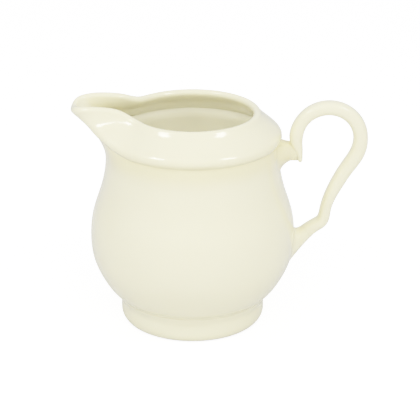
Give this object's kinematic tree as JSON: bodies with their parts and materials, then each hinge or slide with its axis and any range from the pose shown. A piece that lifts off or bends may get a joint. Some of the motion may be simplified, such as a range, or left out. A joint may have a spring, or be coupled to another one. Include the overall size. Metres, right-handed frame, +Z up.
{
  "type": "cream jug",
  "caption": "Small glazed porcelain cream jug with a pulled spout, an overhanging collar, a looped handle and a foot ring.",
  "frame": {"origin": "middle of the jug's plan outline, on the plane its foot stands on", "axes": "+Z up, +X towards the handle, -X towards the spout, the jug is symmetric about the XZ plane"},
  "size_m": [0.1192, 0.0834, 0.0936],
  "materials": {
    "glaze": "glossy cream glaze",
    "slip": "slip fillet under the same cream glaze"
  },
  "bodies": {
    "root": {"body_shell": "glaze", "foot_ring": "glaze", "handle": "glaze", "foot_lute": "slip", "upper_handle_lute": "slip", "lower_handle_lute": "slip"}
  },
  "joints": []
}
